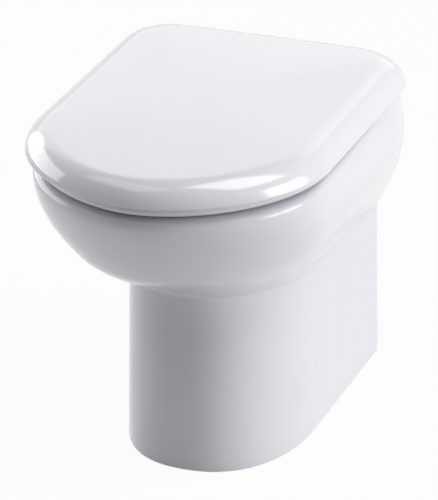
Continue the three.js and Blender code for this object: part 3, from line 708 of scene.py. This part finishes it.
def makePost(tag, x, spot):
    h = hingeSizes
    low, high, r = h["flangeLow"], h["flangeHigh"], h["flange"]
    post = lathe([(0, low)] + turnedCorner(r, low, h["flangeFoot"]) + turnedCorner(r, high, h["flangeTop"])
                 + [(0, high)], spot)
    boss = block(at(x - h["width"] / 2, hinge["setback"] + h["depth"] / 2, low + h["sunk"]),
                 at(x + h["width"] / 2, hinge["setback"] - h["depth"] / 2, hinge["height"]))
    eye = rodAcross(hinge["radius"], x - h["width"] / 2, x + h["width"] / 2, h["eyeEdge"], h["eyeSegments"])
    combine(boss, eye, "UNION")
    combine(post, boss, "UNION")
    combine(post, rodAcross(hinge["bore"], x - h["width"], x + h["width"]), "DIFFERENCE")
    bore = rodUp(h["boltRadius"] + h["boltPlay"], x, hinge["setback"], low - h["cutPast"],
                 h["boltHigh"] + h["boltPlay"])
    combine(post, bore, "DIFFERENCE")
    finishMesh(post, "hingePost_" + tag, "pan", "hinge_post_" + tag, "chrome", "chrome", sharpAngle=30)


def makeGasket(tag, spot):
    h = hingeSizes
    low, high, r, bore = h["gasketLow"], h["gasketHigh"], h["flange"], h["gasketBore"]
    gasket = lathe([(bore, low)] + turnedCorner(r, low, h["gasketFoot"])
                   + turnedCorner(r, high, h["gasketTop"]) + [(bore, high), (bore, low)], spot)
    finishMesh(gasket, "hingeGasket_" + tag, "pan", "hinge_gasket_" + tag, "pale_rubber", "paleRubber")


def makePin(tag, x):
    pin = rodAcross(hinge["pin"], x - hingeSizes["pinHalf"], x + hingeSizes["pinHalf"], hinge["edge"])
    finishMesh(pin, "hingePin_" + tag, "pan", "hinge_pin_" + tag, "plated_steel", "zincPlate")


def makeBolt(tag, spot):
    h = hingeSizes
    rod, low, high = h["boltRadius"], h["boltLow"], h["boltHigh"]
    profile = [(0, low), (rod - h["boltFoot"], low), (rod - h["threadStart"], h["threadFrom"])]
    for k in range(round((h["threadTo"] - h["threadFrom"]) / h["pitch"])):
        z = h["threadFrom"] + (k + 0.5) * h["pitch"]
        profile += [(rod, z), (rod - h["threadDepth"], z + 0.5 * h["pitch"])]
    profile += [(rod, h["threadTo"] + h["threadEnd"])] + turnedCorner(rod, high, h["boltTop"]) + [(0, high)]
    finishMesh(lathe(profile, spot, h["boltSteps"]), "hingeBolt_" + tag, "pan", "hinge_bolt_" + tag,
               "plated_steel", "zincPlate")


def makeConeWasher(tag, spot):
    h = hingeSizes
    low, high, bore = h["coneLow"], h["coneHigh"], h["boltRadius"] + h["boltPlay"]
    cone = lathe([(bore, low)] + turnedCorner(h["coneTip"], low, h["coneFoot"])
                 + turnedCorner(h["coneRadius"], high, h["coneTop"]) + [(bore, high), (bore, low)], spot)
    finishMesh(cone, "coneWasher_" + tag, "pan", "cone_washer_" + tag, "dark_rubber", "darkRubber")


def makeWingNut(tag, x, spot):
    h = hingeSizes
    low, high, r = h["nutLow"], h["nutHigh"], h["nutRadius"]
    nut = lathe([(0, low)] + turnedCorner(r, low, h["nutFoot"]) + turnedCorner(r, high, h["nutTop"])
                + [(0, high)], spot)
    wings = block(at(x - h["wingSpan"] / 2, hinge["setback"] + h["wingThickness"] / 2, low - h["wingDrop"]),
                  at(x + h["wingSpan"] / 2, hinge["setback"] - h["wingThickness"] / 2, high - h["wingDrop"]),
                  h["wingRound"])
    combine(nut, wings, "UNION")
    bore = rodUp(h["boltRadius"] + h["boltPlay"], x, hinge["setback"], low - 2 * h["cutPast"],
                 high + h["cutPast"])
    combine(nut, bore, "DIFFERENCE")
    finishMesh(nut, "wingNut_" + tag, "pan", "wing_nut_" + tag, "nylon", "nylon")


for tag, side in (("left", -1), ("right", 1)):
    x = side * hinge["spacing"] / 2
    spot = at(x, hinge["setback"], 0)
    makePost(tag, x, spot)
    makeGasket(tag, spot)
    makePin(tag, x)
    makeBolt(tag, spot)
    makeConeWasher(tag, spot)
    makeWingNut(tag, x, spot)
print("hinges and fixings made")


bumperSizes = {
    "seat": {"radius": 9, "low": 390.3, "high": 393.7, "soft": 1.2, "edge": 0.3},
    "lid": {"radius": 7, "low": 412.3, "high": 415.7, "soft": 1, "edge": 0.3},
    "softSteps": 5, "turnSteps": 40,
}


def makeBumper(kind, place, tag, side):
    size = bumperSizes[kind]
    x, d = padSpots[place]
    r, soft, low, high = size["radius"], size["soft"], size["low"], size["high"]
    curve = [(r - soft + soft * math.sin(a), low + soft * (1 - math.cos(a)))
             for a in quarterTurn(bumperSizes["softSteps"])]
    pad = lathe([(0, low)] + curve + [(r, high - size["edge"]), (r - size["edge"], high), (0, high)],
                at(side * x, d, 0), bumperSizes["turnSteps"])
    finishMesh(pad, f"{kind}Bumper_{place}_{tag}", kind, f"{kind}_bumper_{place}_{tag}", "pale_rubber",
               "paleRubber")


for kind in ("seat", "lid"):
    for place in ("rear", "front"):
        for tag, side in (("left", -1), ("right", 1)):
            makeBumper(kind, place, tag, side)
print("bumpers made")


studio = {
    "floorSize": 14, "floorDrop": 0.0006, "floorColour": (0.72, 0.72, 0.735), "floorGlow": 0.95,
    "ambient": 0.03, "backdrop": 1, "aim": (0, 0, 0.25),
    # each lamp: degrees round from the front to the right, degrees up, how far off, width, height, power
    "lamps": {
        "left": (-104, 6, 3, 3, 2.2, 52), "right": (95, 8, 3, 1.8, 1.8, 57), "high": (90, 62, 3, 1.8, 1.8, 40),
        "back": (-160, 30, 4, 5, 2.5, 24), "front": (15, 65, 3, 4, 1.8, 4),
        "frontLeft": (-40, 60, 3, 2.8, 1.5, 17),
    },
    "cameraPlace": (1.4328, -3.8129, 2.0364), "cameraTurn": (65.71, 0, 20.53),
    "lens": 273.1, "sensor": 36, "shift": (0.0011, 0.0633),
}


def seenPlainly(nodes, links):        # 1 where the camera, a reflection or glass looks straight at it
    path = nodes.new("ShaderNodeLightPath")
    seen = path.outputs["Is Camera Ray"]
    for ray in ("Is Glossy Ray", "Is Transmission Ray"):
        either = nodes.new("ShaderNodeMath")
        either.operation = "MAXIMUM"
        links.new(seen, either.inputs[0])
        links.new(path.outputs[ray], either.inputs[1])
        seen = either.outputs["Value"]
    return seen


def makeFloor():
    bm = bmesh.new()
    bmesh.ops.create_grid(bm, x_segments=1, y_segments=1, size=studio["floorSize"] / 2,
                          matrix=Matrix.Translation((0, 0, -studio["floorDrop"])))
    mesh = bpy.data.meshes.new("floor")
    bm.to_mesh(mesh)
    bm.free()
    floor = bpy.data.objects.new("floor", mesh)
    bpy.context.scene.collection.objects.link(floor)
    material = bpy.data.materials.new("paleFloor")
    material.use_nodes = True
    nodes, links = material.node_tree.nodes, material.node_tree.links
    nodes.clear()
    output = nodes.new("ShaderNodeOutputMaterial")
    paint = nodes.new("ShaderNodeBsdfDiffuse")
    paint.inputs["Color"].default_value = (*studio["floorColour"], 1)
    glow = nodes.new("ShaderNodeEmission")
    share = nodes.new("ShaderNodeMath")        # what the glow leaves of the paint keeps the shadow
    share.operation = "MULTIPLY"
    share.inputs[1].default_value = studio["floorGlow"]
    blend = nodes.new("ShaderNodeMixShader")
    links.new(seenPlainly(nodes, links), share.inputs[0])
    links.new(share.outputs["Value"], blend.inputs["Fac"])
    links.new(paint.outputs["BSDF"], blend.inputs[1])
    links.new(glow.outputs["Emission"], blend.inputs[2])
    links.new(blend.outputs["Shader"], output.inputs["Surface"])
    mesh.materials.append(material)


def makeWorld():
    world = bpy.data.worlds.new("studio")
    bpy.context.scene.world = world
    world.use_nodes = True
    nodes, links = world.node_tree.nodes, world.node_tree.links
    nodes.clear()
    output = nodes.new("ShaderNodeOutputWorld")
    blend = nodes.new("ShaderNodeMixShader")
    links.new(seenPlainly(nodes, links), blend.inputs["Fac"])
    for socket, strength in ((1, studio["ambient"]), (2, studio["backdrop"])):
        white = nodes.new("ShaderNodeBackground")
        white.inputs["Color"].default_value = (1, 1, 1, 1)
        white.inputs["Strength"].default_value = strength
        links.new(white.outputs["Background"], blend.inputs[socket])
    links.new(blend.outputs["Shader"], output.inputs["Surface"])


def makeLamps():
    for name, (azimuth, up, reach, width, height, power) in studio["lamps"].items():
        light = bpy.data.lights.new(name, "AREA")
        light.shape = "RECTANGLE"
        light.size, light.size_y = width, height
        light.energy = power
        azimuth, up = math.radians(azimuth), math.radians(up)
        away = Vector((math.sin(azimuth) * math.cos(up), -math.cos(azimuth) * math.cos(up), math.sin(up)))
        holder = bpy.data.objects.new(name, light)
        holder.location = Vector(studio["aim"]) + away * reach
        holder.rotation_euler = (-away).to_track_quat("-Z", "Y").to_euler()
        bpy.context.scene.collection.objects.link(holder)


def makeCamera():
    camera = bpy.data.objects.new("camera", bpy.data.cameras.new("camera"))
    camera.data.lens = studio["lens"]
    camera.data.sensor_width = studio["sensor"]
    camera.data.shift_x, camera.data.shift_y = studio["shift"]
    camera.location = studio["cameraPlace"]
    camera.rotation_euler = [math.radians(angle) for angle in studio["cameraTurn"]]
    bpy.context.scene.collection.objects.link(camera)
    bpy.context.scene.camera = camera


makeFloor()
makeWorld()
makeLamps()
makeCamera()
bpy.context.scene.view_settings.view_transform = "Standard"
bpy.context.scene.cycles.caustics_reflective = False        # no sparkle from one glossy wall on another
print("studio set")
